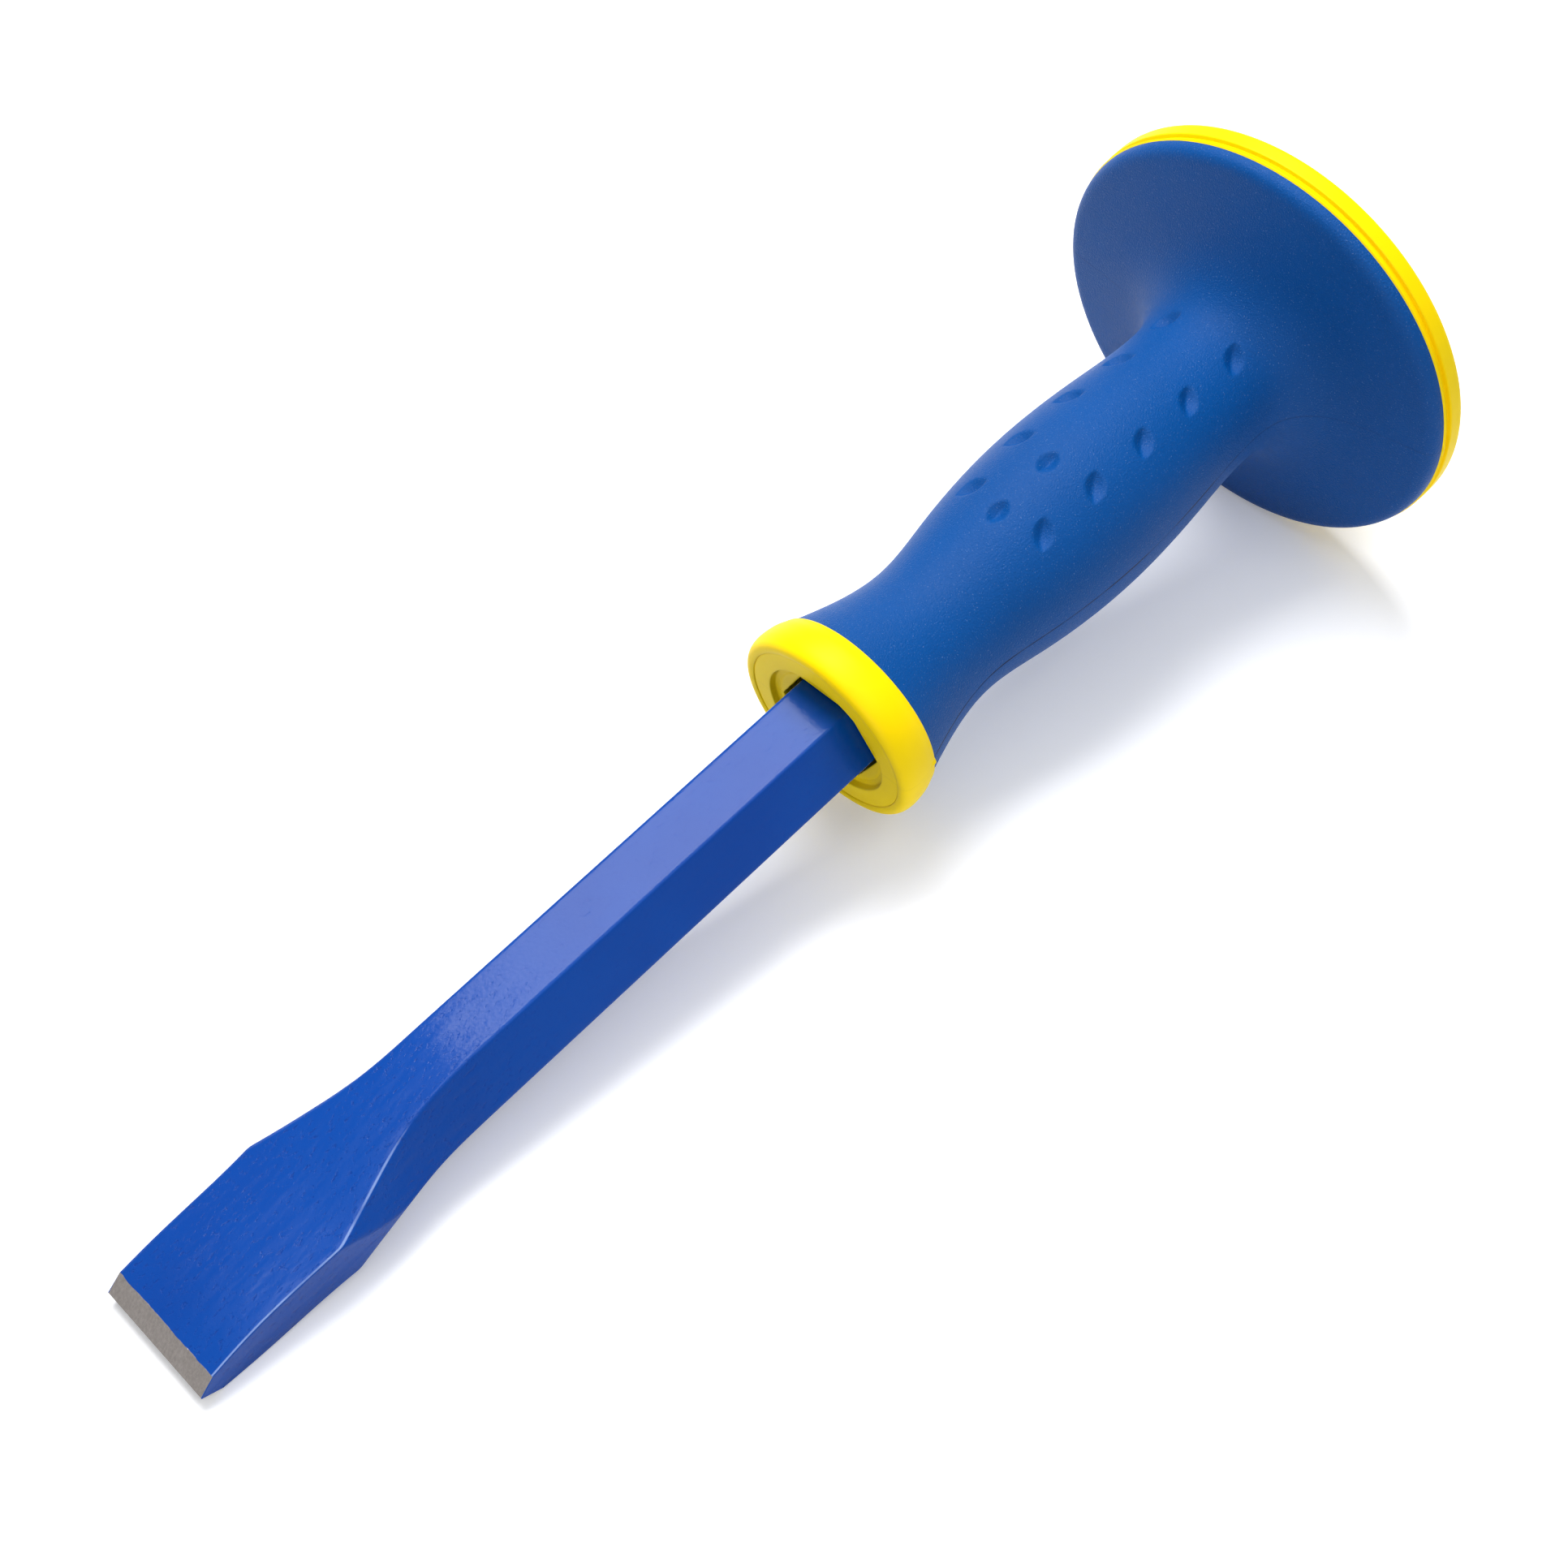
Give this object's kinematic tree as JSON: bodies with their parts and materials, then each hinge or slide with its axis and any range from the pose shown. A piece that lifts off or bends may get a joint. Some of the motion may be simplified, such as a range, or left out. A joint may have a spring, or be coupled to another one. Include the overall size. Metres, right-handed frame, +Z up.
{
  "type": "cold chisel with hand guard",
  "caption": "Flat cold chisel forged from a hexagonal bar, with a waisted two-colour moulded hand grip and a round knuckle guard below the struck head.",
  "frame": {"origin": "on the floor, under the middle of the box around the tool as it lies", "axes": "+X along the floor from the cutting edge to the struck head, +Z up; the bar slopes up 8.84 degrees to the head, because the tool rests on the underside of its blade and on the rim of its guard"},
  "size_m": [0.3024, 0.09, 0.0896],
  "materials": {
    "bar_lacquer": "glossy blue lacquer over forged steel, bare ground steel on the cutting bevels",
    "sleeve_yellow": "satin yellow moulding",
    "collar_yellow": "satin yellow moulding",
    "grip_blue": "satin blue soft moulding with a fine grain",
    "rim_yellow": "satin yellow moulding"
  },
  "bodies": {
    "bar": {"chisel_bar": "bar_lacquer"},
    "guard": {"core_sleeve": "sleeve_yellow", "nose_collar": "collar_yellow", "grip": "grip_blue", "guard_rim": "rim_yellow"}
  },
  "joints": [
    {"name": "guard_slide", "type": "slide", "parent": "bar", "child": "guard", "axis": [0.9881, 0, 0.1536], "range_m": [0, 0.13]}
  ]
}
